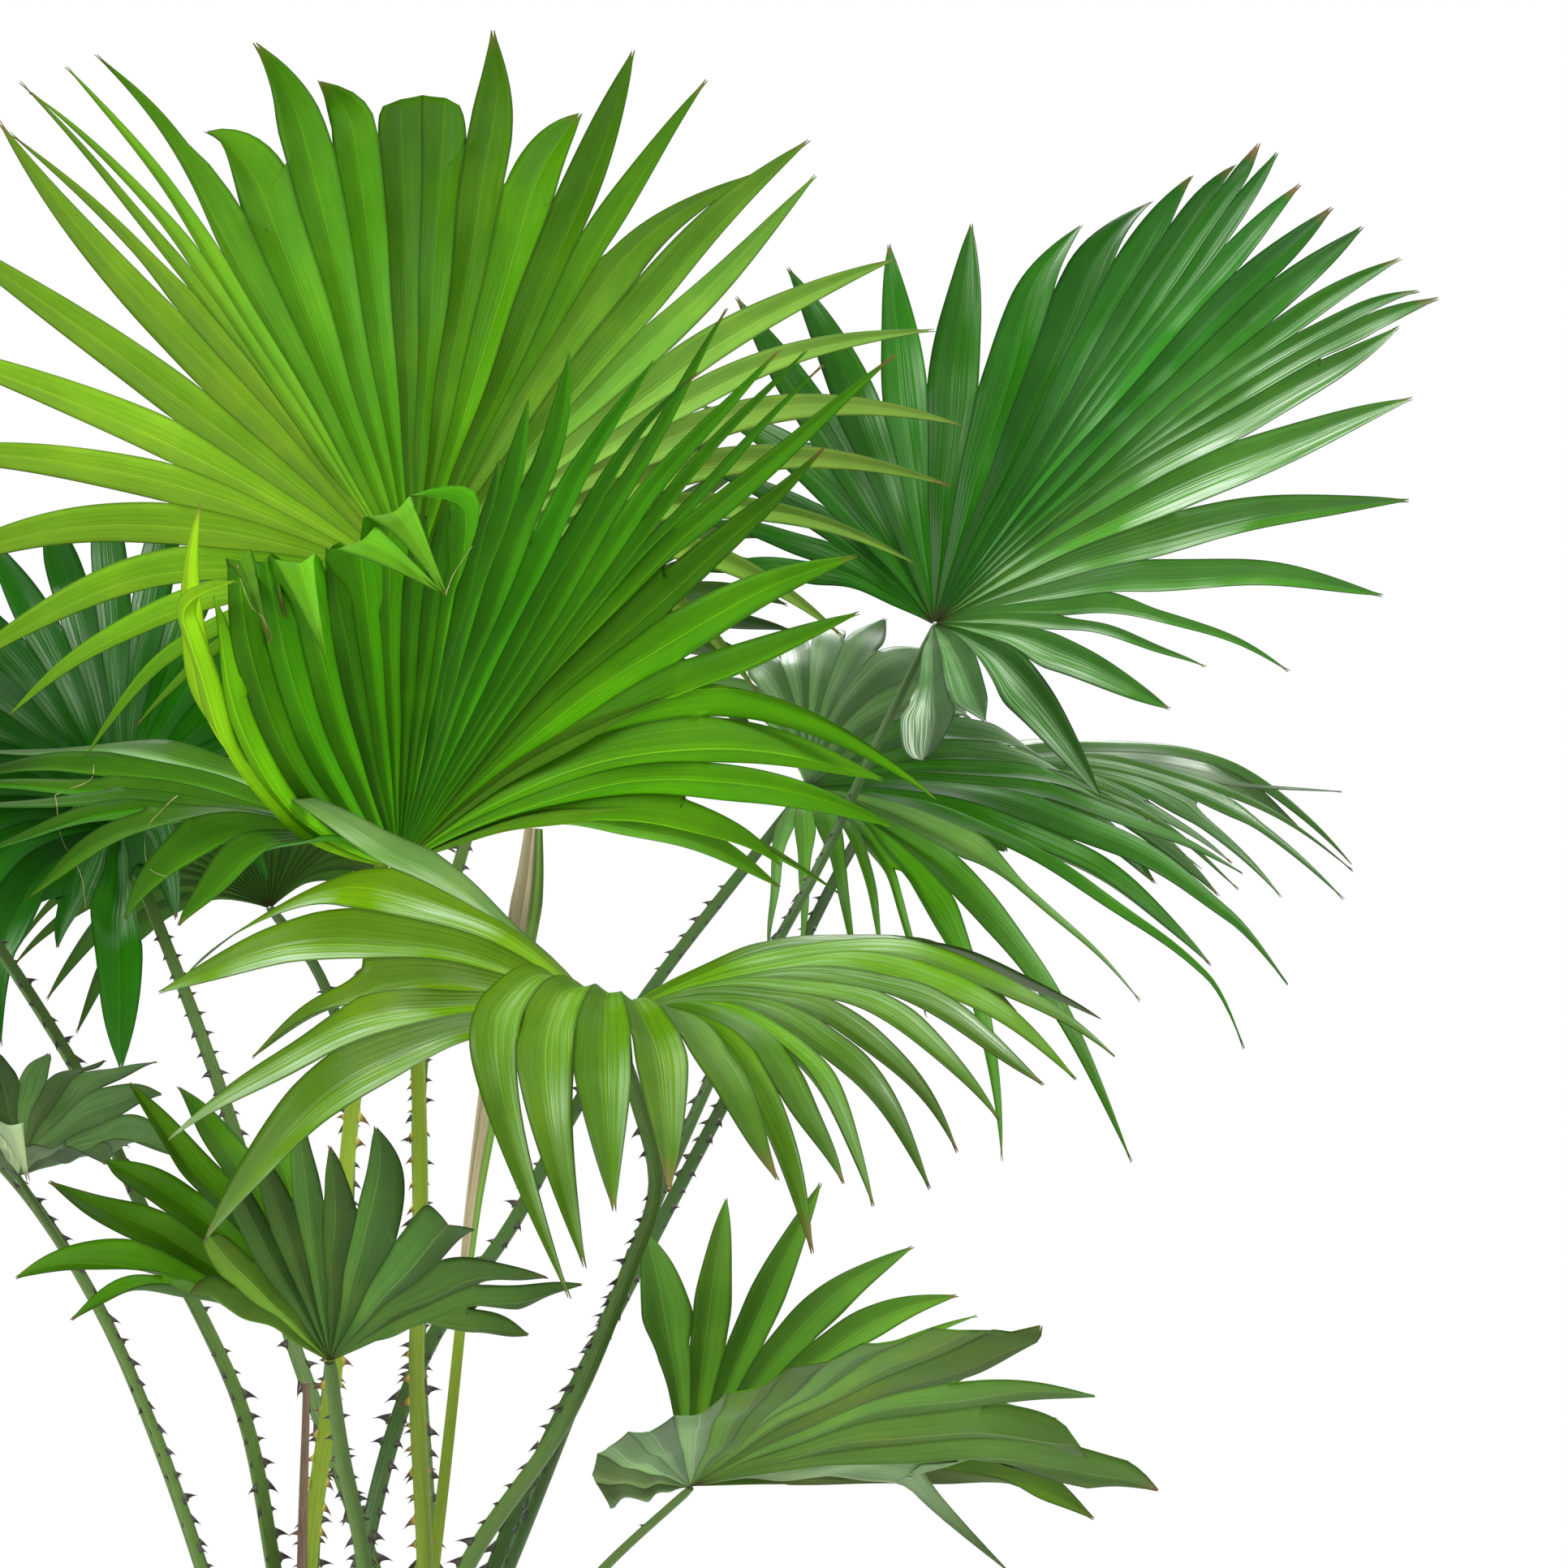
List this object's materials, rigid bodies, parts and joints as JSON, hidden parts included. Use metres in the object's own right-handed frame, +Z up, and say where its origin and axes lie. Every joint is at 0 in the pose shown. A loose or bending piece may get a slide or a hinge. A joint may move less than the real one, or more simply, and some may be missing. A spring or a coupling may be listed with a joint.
{
  "type": "potted livistona palm",
  "caption": "Potted fan palm: plain round pot of soil, low fibrous stem, thorny leaf stalks and pleated fan fronds cut into pointed leaflets.",
  "frame": {"origin": "centre of the pot's flat underside, on the surface that it stands on", "axes": "+Z up along the stem; -Y is the side that the picture shows; +X is to the right in it"},
  "size_m": [1.7959, 1.6996, 2.009],
  "materials": {
    "pot": "matte",
    "soil": "matte",
    "stem": "matte",
    "dry": "matte",
    "stalk": "satin",
    "frond": "satin"
  },
  "bodies": {
    "root": {"pot": "pot", "soil": "soil", "stem": "stem", "stub_dry": "dry", "stalk_spear": "stalk", "stalk_top": "stalk", "stalk_centre": "stalk", "stalk_front": "stalk", "stalk_right_high": "stalk", "stalk_right_mid": "stalk", "stalk_right_back": "stalk", "stalk_right_low": "stalk", "stalk_left_mid": "stalk", "stalk_front_low": "stalk", "stalk_left_low": "stalk", "stalk_left_high": "stalk", "stalk_left_side": "stalk", "stalk_back_high": "stalk", "stalk_back_left": "stalk", "frond_spear": "frond", "frond_top": "frond", "frond_centre": "frond", "frond_front": "frond", "frond_right_high": "frond", "frond_right_mid": "frond", "frond_right_back": "frond", "frond_right_low": "frond", "frond_left_mid": "frond", "frond_front_low": "frond", "frond_left_low": "frond", "frond_left_high": "frond", "frond_left_side": "frond", "frond_back_high": "frond", "frond_back_left": "frond"}
  },
  "joints": []
}
